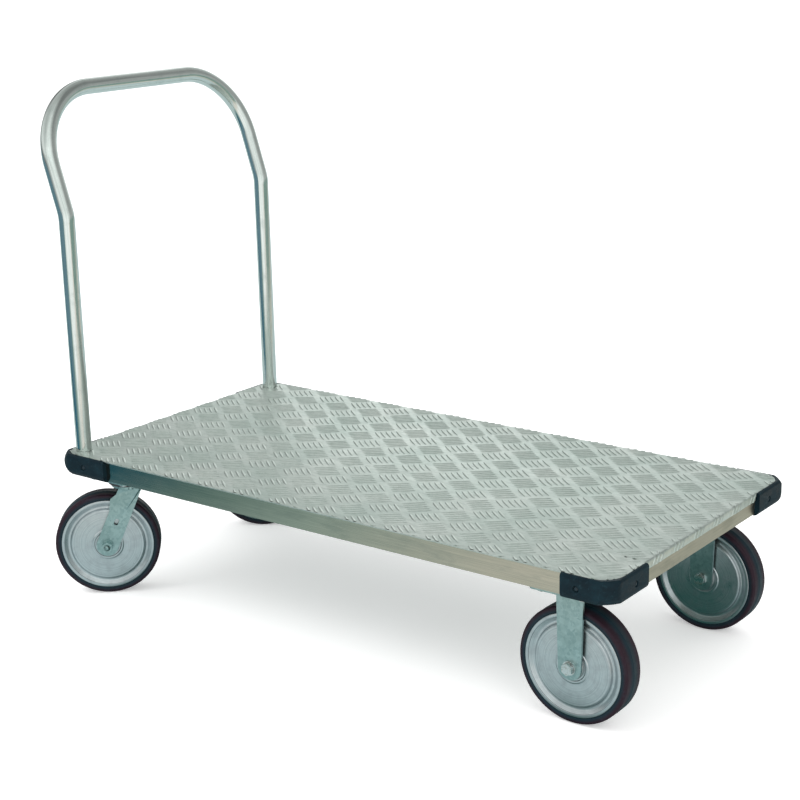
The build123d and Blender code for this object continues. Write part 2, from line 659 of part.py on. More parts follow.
# ---- Assembly --------------------------------------------------------------------------------
def frame_nodes():
    nodes = {"deck_plate": deck_plate(), "floor_ribs": floor_ribs(), "deck_screws": deck_screws()}
    for side_name, side in SIDES.items():
        nodes[f"side_rail_{side_name}"] = side_rail(side)
    for end_name, end in ENDS.items():
        nodes[f"end_rail_{end_name}"] = end_rail(end)
        nodes[f"caster_beam_{end_name}"] = caster_beam(end)
        for side_name, side in SIDES.items():
            nodes[f"{end_name}_corner_{side_name}"] = corner_casting(end, side)
            nodes[f"{end_name}_bumper_{side_name}"] = bumper(end, side)
    nodes["bumper_rivets"] = bumper_rivets()
    nodes["handle_tube"] = handle_tube()
    nodes["handle_bolts"] = handle_bolts()
    nodes["caster_bolts"] = caster_bolts()
    return nodes


def swivel_nodes():
    nodes = {}
    seals = []
    for side_name, side in SIDES.items():
        post = Pos(-CASTER_X, side * CASTER_Y, 0)
        turn = post * Rot(0, 0, SWIVEL_DEG[side_name])
        name = f"rear_{side_name}"
        nodes[f"{name}_top_plate"] = post * top_plate()
        nodes[f"{name}_kingpin"] = post * kingpin()
        nodes[f"{name}_race_balls"] = turn * race_balls()
        nodes[f"{name}_fork"] = turn * swivel_fork()
        seals.append(post * seal_ring())
        for piece, solids in wheel_pieces().items():
            placed = [turn * Pos(TRAIL, 0, WHEEL_R) * solid for solid in solids]
            nodes[f"{name}_{piece}"] = group(placed) if len(placed) > 1 else placed[0]
    nodes["swivel_seals"] = group(seals)
    return nodes


def rigid_nodes():
    nodes = {}
    for side_name, side in SIDES.items():
        place = Pos(CASTER_X, side * CASTER_Y, 0)
        name = f"front_{side_name}"
        nodes[f"{name}_bracket"] = place * rigid_bracket()
        for piece, solids in wheel_pieces().items():
            placed = [place * Pos(0, 0, WHEEL_R) * solid for solid in solids]
            nodes[f"{name}_{piece}"] = group(placed) if len(placed) > 1 else placed[0]
    return nodes


def main():
    os.makedirs("parts", exist_ok=True)
    nodes = {**frame_nodes(), **swivel_nodes(), **rigid_nodes()}
    for name, shape in nodes.items():
        export_step(Pos(DECK_X, DECK_Y, 0) * shape, f"parts/{name}.step")
    print(len(nodes), "nodes")


main()
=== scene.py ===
"""Looks of a flatbed platform truck: a tread-plate deck on a channel frame, a tube handle, two
swivel casters under it and two rigid ones at the other end. Metres, in the frame's own axes.
"""
import json
import math

import bmesh
import bpy
from mathutils import Matrix, Vector
from mathutils.geometry import delaunay_2d_cdt

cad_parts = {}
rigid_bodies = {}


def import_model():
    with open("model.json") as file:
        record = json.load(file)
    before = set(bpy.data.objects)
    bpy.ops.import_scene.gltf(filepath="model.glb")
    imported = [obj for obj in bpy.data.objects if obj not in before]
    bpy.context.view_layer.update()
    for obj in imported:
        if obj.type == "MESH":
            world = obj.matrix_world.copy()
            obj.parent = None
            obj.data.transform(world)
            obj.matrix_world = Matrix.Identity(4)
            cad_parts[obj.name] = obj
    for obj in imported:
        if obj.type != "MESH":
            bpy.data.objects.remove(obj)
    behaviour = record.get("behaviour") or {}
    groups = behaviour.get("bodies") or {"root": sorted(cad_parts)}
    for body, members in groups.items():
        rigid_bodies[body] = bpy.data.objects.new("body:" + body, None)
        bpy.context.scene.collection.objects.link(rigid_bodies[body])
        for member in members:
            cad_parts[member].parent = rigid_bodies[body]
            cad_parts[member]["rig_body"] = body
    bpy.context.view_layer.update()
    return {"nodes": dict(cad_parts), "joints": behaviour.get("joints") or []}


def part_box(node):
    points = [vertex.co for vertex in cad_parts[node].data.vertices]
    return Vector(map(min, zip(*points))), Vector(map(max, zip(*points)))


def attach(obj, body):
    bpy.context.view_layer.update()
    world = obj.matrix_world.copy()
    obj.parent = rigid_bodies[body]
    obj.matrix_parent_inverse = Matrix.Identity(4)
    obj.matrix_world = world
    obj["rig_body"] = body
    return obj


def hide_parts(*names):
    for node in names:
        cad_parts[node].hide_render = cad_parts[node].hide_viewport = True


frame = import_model()
scene = bpy.context.scene

# ---- Dimensions ------------------------------------------------------------------------------
DECK_LOW, DECK_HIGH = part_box("deck_plate")
DECK = (DECK_LOW + DECK_HIGH) / 2
HALF_LENGTH = (DECK_HIGH.x - DECK_LOW.x) / 2
HALF_WIDTH = (DECK_HIGH.y - DECK_LOW.y) / 2
TOP = DECK_HIGH.z
SHEET = 0.003                         # thickness
SHEET_CORNER = 0.038                  # plan radius of the sheet's corners
SHEET_CREASE = 50.0                   # degrees; sharper edges are shaded as edges
FOLD_R = 0.0034                       # outer radius of the bend at each folded end
FOLD_STEPS = 6
LIP_DROP = TOP - DECK_LOW.z
LIP_HALF = 0.193                      # half the width of a folded end
NOTCH = 0.003                         # slit at each side of a folded end
POST = Vector((-0.572, 0.270))        # the handle's left post, from the deck's centre
POST_HOLE = 0.0155
HOLE_SEGMENTS = 48
# The sheet's rim from the top face down, as (inset, height). The last step back leaves a dark seam.
SHEET_RIM = ((0.0007, 0.0), (0.0002, -0.0002), (0.0, -0.0007), (0.0, -0.0020), (0.0012, -SHEET))

BAR_PITCH = Vector((0.0840, 0.0686))  # the tread repeats after this along and across the deck
BAR_PHASE = Vector((-0.0155, 0.0224))  # middle of one group of bars, from the deck's centre
BAR_TURN = math.radians(39.2)
BAR_LENGTH = 0.0435
BAR_WIDTH = 0.0052
BAR_HEIGHT = 0.0015
BAR_SINK = 0.00012                    # a bar starts this far under the sheet's face
BAR_STEP = 0.0104                     # between neighbours, along the other bars' direction
BAR_COUNT = 5
BAR_SLICES = 10                       # along a bar
BAR_MARGIN = 0.0008                   # kept clear of the sheet's edges and holes
BAR_LIP_MARGIN = 0.0006               # and of the lower edge of its folded ends
BAR_END_REACH = 0.03                  # a bar this near an end may cross it

TUBE_R = 0.015
LEAN_Z = 0.732
LEAN_LENGTH = 0.231
LEAN_DEG = 17.6
LEAN_RADIUS = 0.080
TOP_RADIUS = 0.138
TUBE_SIDES = 56
TUBE_BEND_STEPS = 28

MERGE = 3e-6                          # closer vertices of a CAD mesh are joined
CARRIED_CREASE = 32.0
LATHE_CREASE = 50.0
LATHE_SEGMENTS = 144

WELD_LEG = 0.0045
WELD_SLICE = 0.0011                   # length of one slice of a bead
WELD_RIPPLE = 0.0034                  # length of one ripple
WELD_TAPER = 0.004                    # how gently a bead thins at its ends
RIB_HALF = 0.020                      # half the width of a floor rib

FLOOR_HALF = 90.0
REFLECTION_HALF = 60.0
CAMERA_PLACE = (1.79599, -2.34219, 1.23983)

WHEELS = ("rear_left", "rear_right", "front_left", "front_right")


# ---- Materials -------------------------------------------------------------------------------
def srgb(red, green, blue):
    """Linear colour of an 8-bit display colour."""
    values = [value / 255 for value in (red, green, blue)]
    linear = [v / 12.92 if v < 0.04045 else ((v + 0.055) / 1.055) ** 2.4 for v in values]
    return (*linear, 1.0)


class Nodes:
    """A node tree, with short calls for the nodes that it needs."""

    def __init__(self, tree):
        self.tree = tree

    def node(self, kind, inputs, **settings):
        made = self.tree.nodes.new("ShaderNode" + kind)
        for key, value in settings.items():
            setattr(made, key, value)
        for key, value in inputs.items():
            if isinstance(value, bpy.types.NodeSocket):
                self.tree.links.new(value, made.inputs[key])
            else:
                made.inputs[key].default_value = value
        return made

    def place(self, stretch=(1, 1, 1)):
        """The piece's own coordinates, stretched."""
        coordinates = self.node("TexCoord", {}).outputs["Object"]
        return self.node("Mapping", {"Vector": coordinates, "Scale": stretch}).outputs["Vector"]

    def attribute(self, name):
        return self.node("Attribute", {}, attribute_name=name).outputs["Vector"]

    def axis(self, name, vector=None):
        return self.node("SeparateXYZ", {"Vector": vector or self.place()}).outputs[name]

    def math(self, operation, first, second=0.0):
        return self.node("Math", {0: first, 1: second}, operation=operation).outputs["Value"]

    def noise(self, scale, detail=2.0, stretch=(1, 1, 1), vector=None, rough=0.5):
        inputs = {"Scale": scale, "Detail": detail, "Roughness": rough}
        inputs["Vector"] = vector or self.place(stretch)
        return self.node("TexNoise", inputs).outputs["Fac"]

    def radius(self):
        """Distance from the piece's own Y axis."""
        flat = self.node("VectorMath", {0: self.place(), 1: (1, 0, 1)}, operation="MULTIPLY")
        return self.node("VectorMath", {0: flat.outputs[0]}, operation="LENGTH").outputs["Value"]

    def rings(self, scale, detail=3.0):
        """Turning marks about the piece's own Y axis."""
        inputs = {"W": self.radius(), "Scale": scale, "Detail": detail}
        return self.node("TexNoise", inputs, noise_dimensions="1D").outputs["Fac"]

    def span(self, value, start, stop, low=0.0, high=1.0):
        """Carry start..stop over to low..high, and stay inside it."""
        inputs = {"Value": value, "From Min": start, "From Max": stop}
        inputs.update({"To Min": low, "To Max": high})
        return self.node("MapRange", inputs).outputs["Result"]

    def blend(self, factor, first, second):
        """Second colour over first."""
        inputs = {0: factor, 6: first, 7: second}
        return self.node("Mix", inputs, data_type="RGBA").outputs[2]


class Look(Nodes):
    """A procedural material on the standard shader."""

    def __init__(self, name, metallic=0.0, specular=0.5):
        self.material = bpy.data.materials.new(name)
        self.material.use_nodes = True
        super().__init__(self.material.node_tree)
        self.shader = self.tree.nodes["Principled BSDF"]
        self.shader.inputs["Metallic"].default_value = metallic
        self.shader.inputs["Specular IOR Level"].default_value = specular
        self.normal = None

    def colour(self, socket):
        self.tree.links.new(socket, self.shader.inputs["Base Color"])

    def roughness(self, socket):
        self.tree.links.new(socket, self.shader.inputs["Roughness"])

    def relief(self, height, distance, strength):
        """Add a layer of bump, in metres."""
        inputs = {"Height": height, "Distance": distance, "Strength": strength}
        if self.normal:
            inputs["Normal"] = self.normal
        self.normal = self.node("Bump", inputs).outputs["Normal"]
        self.tree.links.new(self.normal, self.shader.inputs["Normal"])


def deck_look():
    """Rolled aluminium: cloudy patches and fine wear, with a painted highlight that makes the bars'
    tops lighter.
    """
    look = Look("tread_plate", metallic=1.0)
    patches = look.noise(7.0, 3.0)
    wear = look.noise(60.0, 4.0, stretch=(1.0, 2.2, 1.0), rough=0.65)
    tone = look.blend(look.span(patches, 0.35, 0.65), srgb(201, 212, 206), srgb(217, 223, 218))
    tone = look.blend(look.span(wear, 0.42, 0.72, 0.0, 0.55), tone, srgb(170, 183, 176))
    # Painted highlight: the bars' tops are blended towards a lighter tone by their height above the
    # sheet.
    height = look.span(look.axis("Z"), TOP + 0.0008, TOP + BAR_HEIGHT)
    look.colour(look.blend(height, tone, srgb(212, 220, 214)))
    scuffs = look.noise(240.0, 3.0, stretch=(0.12, 1.0, 1.0), rough=0.6)
    look.roughness(look.span(scuffs, 0.3, 0.75, 0.34, 0.52))
    look.relief(look.noise(420.0, 4.0), 0.00012, 0.7)
    look.relief(look.noise(18.0, 2.0), 0.0012, 0.6)
    return look.material


def extruded_look(name, fine, coarse, dark, light, worn, smooth, dull):
    """Extruded channel: fine lines along its length, with a few scuffs."""
    look = Look(name, metallic=1.0)
    lines = look.noise(900.0, 3.0, stretch=fine, rough=0.7)
    scuffs = look.noise(32.0, 5.0, stretch=coarse, rough=0.66)
    tone = look.blend(look.span(lines, 0.3, 0.7), dark, light)
    tone = look.blend(look.span(scuffs, 0.5, 0.72, 0.0, 0.45), tone, worn)
    look.colour(tone)
    look.roughness(look.span(scuffs, 0.35, 0.7, smooth, dull))
    look.relief(lines, 0.00006, 0.6)
    return look


def rail_look():
    """Side rails, which run along the truck and mirror the room."""
    tones = (srgb(160, 166, 156), srgb(186, 188, 176), srgb(142, 150, 142))
    stretches = ((0.008, 1.0, 1.0), (0.45, 1.0, 1.6))
    look = extruded_look("extruded_rail", *stretches, *tones, smooth=0.09, dull=0.19)
    look.relief(look.noise(9.0, 2.0), 0.0016, 0.5)
    return look.material


def end_rail_look():
    """End rails, beams and ribs, which run across the truck."""
    tones = (srgb(164, 164, 150), srgb(188, 184, 168), srgb(146, 148, 136))
    stretches = ((1.0, 0.008, 1.0), (1.0, 0.45, 1.6))
    look = extruded_look("extruded_end_rail", *stretches, *tones, smooth=0.28, dull=0.46)
    return look.material


def cast_look():
    """Sand-cast aluminium: dull, with a pitted skin."""
    look = Look("cast_aluminium", metallic=1.0)
    skin = look.noise(520.0, 5.0, rough=0.7)
    tone = look.blend(look.span(skin, 0.35, 0.7), srgb(134, 138, 137), srgb(172, 176, 173))
    look.colour(tone)
    look.roughness(look.span(skin, 0.3, 0.7, 0.48, 0.68))
    look.relief(skin, 0.00035, 0.8)
    return look.material


def handle_look():
    """Polished tube: drawing lines along it, finger marks and a few dull patches."""
    look = Look("polished_tube", metallic=1.0)
    around = look.attribute("tube")
    lines = look.noise(700.0, 3.0, vector=around, rough=0.6)
    marks = look.noise(26.0, 4.0, rough=0.62)
    tone = look.blend(look.span(lines, 0.3, 0.7), srgb(198, 206, 202), srgb(226, 230, 227))
    tone = look.blend(look.span(marks, 0.5, 0.75, 0.0, 0.4), tone, srgb(178, 190, 186))
    look.colour(tone)
    look.roughness(look.span(marks, 0.35, 0.72, 0.12, 0.24))
    look.relief(lines, 0.00004, 0.6)
    look.relief(look.noise(340.0, 3.0), 0.00004, 0.5)
    return look.material


def bumper_look():
    """Moulded rubber: blue-black, fine grain, greyed where it rubs."""
    look = Look("bumper_rubber", specular=0.16)
    grain = look.noise(1500.0, 3.0)
    bloom = look.noise(46.0, 5.0, rough=0.66)
    tone = look.blend(look.span(bloom, 0.4, 0.7), srgb(2, 24, 33), srgb(8, 38, 47))
    rubbed = look.span(look.noise(210.0, 5.0), 0.6, 0.78, 0.0, 0.35)
    tone = look.blend(rubbed, tone, srgb(38, 68, 78))
    look.colour(tone)
    look.roughness(look.span(bloom, 0.35, 0.7, 0.42, 0.62))
    look.relief(grain, 0.00016, 0.7)
    look.relief(look.noise(120.0, 3.0), 0.0004, 0.4)
    return look.material


def zinc_look():
    """Pressed zinc-plated steel: faint spangle, press marks and dull patches."""
    look = Look("zinc_plate", metallic=1.0)
    cells = look.node("TexVoronoi", {"Vector": look.place(), "Scale": 210.0})
    patches = look.noise(22.0, 4.0, rough=0.6)
    grain = look.node("SeparateXYZ", {"Vector": cells.outputs["Color"]}).outputs["X"]
    tone = look.blend(look.span(grain, 0.0, 1.0), srgb(147, 172, 172), srgb(171, 194, 193))
    tone = look.blend(look.span(patches, 0.42, 0.7, 0.0, 0.6), tone, srgb(130, 156, 154))
    look.colour(tone)
    look.roughness(look.span(patches, 0.3, 0.7, 0.26, 0.42))
    look.relief(patches, 0.0009, 0.5)
    look.relief(look.noise(650.0, 3.0), 0.00006, 0.6)
    return look.material


def wheel_look():
    """Pressed disc and rolled rim: zinc with drawing rings and handling marks."""
    look = Look("wheel_zinc", metallic=1.0)
    rings = look.rings(520.0)
    marks = look.noise(60.0, 5.0, rough=0.66)
    tone = look.blend(look.span(rings, 0.3, 0.7), srgb(180, 189, 192), srgb(204, 210, 212))
    tone = look.blend(look.span(marks, 0.45, 0.72, 0.0, 0.5), tone, srgb(162, 167, 172))
    look.colour(tone)
    look.roughness(look.span(marks, 0.3, 0.72, 0.27, 0.44))
    look.relief(rings, 0.00008, 0.6)
    look.relief(look.noise(36.0, 3.0), 0.0007, 0.5)
    return look.material


def hub_look():
    """Turned steel: rings, and some dark stain."""
    look = Look("turned_hub", metallic=1.0)
    rings = look.rings(1400.0)
    tone = look.blend(look.span(rings, 0.3, 0.7), srgb(150, 156, 158), srgb(186, 190, 190))
    stain = look.span(look.noise(80.0, 4.0), 0.5, 0.75, 0.0, 0.5)
    look.colour(look.blend(stain, tone, srgb(112, 118, 118)))
    look.roughness(look.span(rings, 0.3, 0.7, 0.26, 0.42))
    look.relief(rings, 0.00008, 0.8)
    return look.material


def tyre_look():
    """Solid rubber: green-black tread, dark maroon shoulders, dust and moulding lines."""
    look = Look("tyre_rubber", specular=0.2)
    across = look.math("ABSOLUTE", look.axis("Y"))
    dust = look.noise(70.0, 5.0, rough=0.68)
    shoulder = look.span(across, 0.004, 0.014)
    outside = look.span(look.radius(), 0.0905, 0.0965)
    band = look.math("MULTIPLY", shoulder, outside)
    tone = look.blend(band, srgb(13, 36, 45), srgb(38, 21, 32))
    tone = look.blend(look.span(dust, 0.5, 0.75, 0.0, 0.3), tone, srgb(46, 61, 71))
    look.colour(tone)
    look.roughness(look.span(dust, 0.35, 0.72, 0.46, 0.66))
    look.relief(look.noise(1300.0, 3.0), 0.00014, 0.6)
    look.relief(look.noise(90.0, 2.0), 0.0005, 0.3)
    return look.material


def bearing_look():
    """Ground steel."""
    look = Look("bearing_steel", metallic=1.0)
    tone = look.noise(300.0, 3.0)
    look.colour(look.blend(look.span(tone, 0.35, 0.65), srgb(150, 154, 156), srgb(190, 192, 192)))
    look.roughness(look.span(tone, 0.3, 0.7, 0.16, 0.3))
    look.relief(tone, 0.00003, 0.5)
    return look.material


def seal_look():
    """Dark plastic."""
    look = Look("seal_plastic", specular=0.5)
    tone = look.noise(160.0, 4.0)
    look.colour(look.blend(look.span(tone, 0.35, 0.7), srgb(30, 32, 34), srgb(52, 54, 56)))
    look.roughness(look.span(tone, 0.3, 0.7, 0.38, 0.55))
    look.relief(look.noise(900.0, 2.0), 0.00008, 0.5)
    return look.material


def fastener_look():
    """Bright zinc on bolts, nuts and rivets, a little stained in places."""
    look = Look("bright_fastener", metallic=1.0)
    stain = look.noise(130.0, 4.0, rough=0.62)
    tone = look.blend(look.span(stain, 0.5, 0.74), srgb(206, 212, 212), srgb(158, 158, 146))
    look.colour(tone)
    look.roughness(look.span(stain, 0.35, 0.7, 0.16, 0.36))
    look.relief(look.noise(900.0, 3.0), 0.00005, 0.6)
    return look.material


def rivet_look():
    """Black-coated rivet heads, rubbed a little on top."""
    look = Look("coated_rivet", specular=0.4)
    rubbed = look.noise(600.0, 4.0, rough=0.65)
    bare = look.span(rubbed, 0.55, 0.75, 0.0, 0.5)
    look.colour(look.blend(bare, srgb(8, 30, 40), srgb(70, 92, 100)))
    look.roughness(look.span(rubbed, 0.3, 0.7, 0.34, 0.52))
    look.relief(rubbed, 0.00006, 0.6)
    return look.material


def weld_look():
    """A bead's heat-tinted metal."""
    look = Look("weld_bead", metallic=1.0)
    heat = look.noise(90.0, 4.0)
    look.colour(look.blend(look.span(heat, 0.35, 0.65), srgb(120, 118, 112), srgb(176, 178, 172)))
    look.roughness(look.span(heat, 0.3, 0.7, 0.34, 0.55))
    look.relief(look.noise(700.0, 3.0), 0.0001, 0.7)
    return look.material


DECK_LOOK = deck_look()
RAIL_LOOK = rail_look()
END_RAIL_LOOK = end_rail_look()
CAST_LOOK = cast_look()
HANDLE_LOOK = handle_look()
BUMPER_LOOK = bumper_look()
ZINC_LOOK = zinc_look()
WHEEL_LOOK = wheel_look()
HUB_LOOK = hub_look()
TYRE_LOOK = tyre_look()
BEARING_LOOK = bearing_look()
SEAL_LOOK = seal_look()
FASTENER_LOOK = fastener_look()
RIVET_LOOK = rivet_look()
WELD_LOOK = weld_look()


# ---- Mesh helpers ----------------------------------------------------------------------------
def piece(name, bm, body, look, nodes=(), matrix=None, sharp_deg=35.0):
    """Turn a bmesh into a piece that rides on a body, and stands for CAD nodes."""
    bmesh.ops.recalc_face_normals(bm, faces=bm.faces)
    mesh = bpy.data.meshes.new(name)
    bm.to_mesh(mesh)
    bm.free()
    mesh.polygons.foreach_set("use_smooth", [True] * len(mesh.polygons))
    mesh.set_sharp_from_angle(angle=math.radians(sharp_deg))
    mesh.materials.append(look)
    obj = bpy.data.objects.new(name, mesh)
    scene.collection.objects.link(obj)
    if matrix:
        obj.matrix_world = matrix
    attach(obj, body)
    if nodes:
        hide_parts(*nodes)
    return obj


def carried(node, look):
    """A CAD node's own shape as a piece, with clean shading across its faces and bends."""
    source = frame["nodes"][node]
    bm = bmesh.new()
    bm.from_mesh(source.data)
    bmesh.ops.remove_doubles(bm, verts=bm.verts, dist=MERGE)
    name = node + "_finished"
    body = source["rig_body"]
    obj = piece(name, bm, body, look, [node], sharp_deg=CARRIED_CREASE)
    normals = obj.modifiers.new("normals", "WEIGHTED_NORMAL")
    normals.keep_sharp = True


def painted(node, look):
    """A CAD node that keeps its own mesh."""
    obj = frame["nodes"][node]
    obj.data.materials.clear()
    obj.data.materials.append(look)


def rounded(corners, closed, steps=5):
    """Line through (point, radius) corners, with an arc at each corner that has a radius."""
    line = []
    count = len(corners)
    for i, (here, radius) in enumerate(corners):
        here = Vector(here)
        inside = closed or 0 < i < count - 1
        if not radius or not inside:
            line.append(here)
            continue
        to_last = (Vector(corners[i - 1][0]) - here).normalized()
        to_next = (Vector(corners[(i + 1) % count][0]) - here).normalized()
        half = to_last.angle(to_next) / 2
        centre = here + (to_last + to_next).normalized() * (radius / math.sin(half))
        first = here + to_last * (radius / math.tan(half)) - centre
        last = here + to_next * (radius / math.tan(half)) - centre
        whole = first.angle(last)
        for k in range(steps + 1):
            share = k / steps
            arm = first * math.sin((1 - share) * whole) + last * math.sin(share * whole)
            line.append(centre + arm / math.sin(whole))
    return line


def lathe(name, outlines, body, look, nodes, matrix):
    """Turn closed (radius, y, corner radius) outlines about Y, in millimetres."""
    bm = bmesh.new()
    for outline in outlines:
        corners = [((r / 1000, y / 1000, 0.0), rounding / 1000) for r, y, rounding in outline]
        profile = rounded(corners, closed=True)
        loops = []
        for j in range(LATHE_SEGMENTS):
            turn = 2 * math.pi * j / LATHE_SEGMENTS
            c, s = math.cos(turn), math.sin(turn)
            loops.append([bm.verts.new((p.x * c, p.y, p.x * s)) for p in profile])
        for j, loop in enumerate(loops):
            join_loops(bm, loop, loops[(j + 1) % LATHE_SEGMENTS])
    piece(name, bm, body, look, nodes, matrix, sharp_deg=LATHE_CREASE)


def join_loops(bm, first, second):
    """Faces between two closed rows of vertices."""
    for k in range(len(first)):
        n = (k + 1) % len(first)
        bm.faces.new((first[k], first[n], second[n], second[k]))


# ---- Deck ------------------------------------------------------------------------------------
FLAT_HALF = HALF_LENGTH - FOLD_R
FOLD_ARC = FOLD_R * math.pi / 2
SHEET_END = FLAT_HALF + FOLD_ARC + LIP_DROP - FOLD_R


def folded(u, v, height):
    """Where a point of the flat sheet lies once its two ends are folded down."""
    over = abs(u) - FLAT_HALF
    x = abs(u)
    z = height
    if over > 0 and abs(v) < LIP_HALF + NOTCH / 2:
        turn = min(over / FOLD_R, math.pi / 2)
        x = FLAT_HALF + (FOLD_R + height) * math.sin(turn)
        z = (FOLD_R + height) * math.cos(turn) - FOLD_R - max(over - FOLD_ARC, 0.0)
    return Vector((DECK.x + math.copysign(x, u), DECK.y + v, TOP + z))


def fold_lines():
    """Where the sheet's flat tabs start to bend, and each step of the bend."""
    return [FLAT_HALF + FOLD_ARC * k / FOLD_STEPS for k in range(FOLD_STEPS + 1)]


def sheet_outline(inset):
    """Flat outline of the sheet, with a tab at each end that folds down."""
    end = SHEET_END - inset
    tab = LIP_HALF - inset
    notch = LIP_HALF + NOTCH + inset
    x = HALF_LENGTH - inset
    y = HALF_WIDTH - inset
    bend = [((line, tab, 0), 0) for line in reversed(fold_lines()[1:])]
    quarter = [((end, 0.0, 0), 0), ((end, tab, 0), 0.002)] + bend + [
        ((FLAT_HALF - inset, tab, 0), 0), ((FLAT_HALF - inset, notch, 0), 0),
        ((x, notch, 0), 0), ((x, y, 0), SHEET_CORNER - inset), ((0.0, y, 0), 0),
    ]
    first = rounded(quarter, closed=False, steps=14)
    second = [Vector((-p.x, p.y, 0)) for p in reversed(first[:-1])]
    half = first + second
    return half + [Vector((p.x, -p.y, 0)) for p in reversed(half[1:-1])]


def post_hole(side):
    """Outline of the hole for one of the handle's posts."""
    turns = [math.tau * k / HOLE_SEGMENTS for k in range(HOLE_SEGMENTS)]
    return [
        Vector((POST.x + POST_HOLE * math.cos(t), side * POST.y + POST_HOLE * math.sin(t), 0))
        for t in turns
    ]


def add_loop(bm, points, height):
    """One vertex at this height for each point of an outline."""
    return [bm.verts.new((point.x, point.y, height)) for point in points]


def fill_sheet(bm, loops):
    """Fill the area inside the first loop and outside the others, with edges along the bends."""
    verts = [vert for loop in loops for vert in loop]
    flat = [vert.co.xy for vert in verts]
    areas = []
    start = 0
    for loop in loops:
        areas.append(list(range(start, start + len(loop))))
        start += len(loop)
    across = []
    for line in fold_lines()[1:]:
        for end in (-1, 1):
            on_line = [i for i, spot in enumerate(flat) if abs(spot.x - end * line) < 1e-6]
            tab = [i for i in on_line if abs(flat[i].y) < LIP_HALF + 1e-6]
            if len(tab) == 2:
                across.append(tuple(tab))
    _, _, faces, sources, _, insides = delaunay_2d_cdt(flat, across, areas, 1, 1e-7, True)
    for face, inside in zip(faces, insides):
        if list(inside) == [0]:
            bm.faces.new([verts[sources[k][0]] for k in face])


def deck_sheet():
    """The sheet under the tread, with broken edges, post holes and its two folded ends."""
    bm = bmesh.new()
    outer = [add_loop(bm, sheet_outline(inset), height) for inset, height in SHEET_RIM]
    for first, second in zip(outer, outer[1:]):
        join_loops(bm, first, second)
    tops = [outer[0]]
    unders = [outer[-1]]
    for side in (-1, 1):
        tops.append(add_loop(bm, post_hole(side), 0.0))
        unders.append(add_loop(bm, post_hole(side), -SHEET))
        join_loops(bm, tops[-1], unders[-1])
    fill_sheet(bm, tops)
    fill_sheet(bm, unders)
    for vert in bm.verts:
        vert.co = folded(*vert.co)
    nodes = ["deck_plate"]
    piece("deck_sheet", bm, "chassis", DECK_LOOK, nodes, sharp_deg=SHEET_CREASE)


def bar_places():
    """Centre and direction of each raised bar on the flat sheet."""
    along_count = int(SHEET_END / BAR_PITCH.x) + 2
    across_count = int(HALF_WIDTH / BAR_PITCH.y) + 2
    rise = Vector((math.cos(BAR_TURN), math.sin(BAR_TURN)))
    fall = Vector((math.cos(BAR_TURN), -math.sin(BAR_TURN)))
    for i in range(-along_count, along_count + 1):
        for j in range(-across_count, across_count + 1):
            tile = Vector((i * BAR_PITCH.x, j * BAR_PITCH.y)) + BAR_PHASE
            for way, other, shift in ((rise, fall, Vector((0, 0))), (fall, rise, BAR_PITCH / 2)):
                for k in range(BAR_COUNT):
                    yield tile + shift + other * (BAR_STEP * (k - (BAR_COUNT - 1) / 2)), way


def bar_limits(centre):
    """Planes of the flat sheet that a bar may not cross, as (point, outward direction)."""
    u, v = abs(centre.x), abs(centre.y)
    sign = Vector((math.copysign(1, centre.x), math.copysign(1, centre.y)))
    limits = [((0, HALF_WIDTH - BAR_MARGIN), (0, 1))]
    if u > HALF_LENGTH - BAR_END_REACH:
        if v < LIP_HALF:
            limits.append(((SHEET_END - BAR_LIP_MARGIN, 0), (1, 0)))
            limits.append(((0, LIP_HALF - BAR_MARGIN), (0, 1)))
        else:
            limits.append(((HALF_LENGTH - BAR_MARGIN, 0), (1, 0)))
            limits.append(((0, LIP_HALF + NOTCH + BAR_MARGIN), (0, -1)))
    corner = Vector((HALF_LENGTH - SHEET_CORNER, HALF_WIDTH - SHEET_CORNER))
    arm = Vector((u, v)) - corner
    if arm.x > 0 and arm.y > 0:
        arm.normalize()
        limits.append((tuple(corner + arm * (SHEET_CORNER - BAR_MARGIN)), tuple(arm)))
    if centre.x < 0:
        post = Vector((-POST.x, POST.y))
        arm = Vector((u, v)) - post
        if 0 < arm.length < POST_HOLE + BAR_LENGTH / 2:
            arm.normalize()
            limits.append((tuple(post + arm * (POST_HOLE + BAR_MARGIN)), tuple(-arm)))
    return [
        (Vector((p[0] * sign.x, p[1] * sign.y, 0)), Vector((d[0] * sign.x, d[1] * sign.y, 0)))
        for p, d in limits
    ]


def add_bar(bm, centre, way):
    """A lens-shaped bar with sloping flanks, on the flat sheet."""
    side = Vector((-way.y, way.x))
    section = ((-1, 0), (-0.62, 0.82), (0, 1), (0.62, 0.82), (1, 0))
    rows = []
    for i in range(BAR_SLICES + 1):
        s = -1 + i / (BAR_SLICES / 2)
        half = BAR_WIDTH / 2 * (1 - abs(s) ** 2.6) ** 0.75 + 0.0002
        crest = BAR_HEIGHT * (1 - abs(s) ** 5) - BAR_SINK
        row = []
        for t, share in section:
            spot = centre + way * (s * BAR_LENGTH / 2) + side * (t * half)
            height = crest * share if share else -BAR_SINK
            row.append(bm.verts.new((spot.x, spot.y, max(height, -BAR_SINK))))
        rows.append(row)
    faces = []
    for first, second in zip(rows, rows[1:]):
        for k in range(len(section) - 1):
            corners = (first[k], second[k], second[k + 1], first[k + 1])
            faces.append(bm.faces.new(corners))
    reach = BAR_LENGTH / 2
    for point, outward in bar_limits(centre):
        gap = (point - Vector((centre.x, centre.y, 0))).dot(outward)
        if gap > reach:
            continue
        faces = [face for face in faces if face.is_valid]
        verts = list({vert for face in faces for vert in face.verts})
        edges = list({edge for face in faces for edge in face.edges})
        cut = bmesh.ops.bisect_plane(
            bm, geom=verts + edges + faces, dist=1e-7, plane_co=point, plane_no=outward,
            clear_outer=True,
        )
        faces = [item for item in cut["geom"] if isinstance(item, bmesh.types.BMFace)]


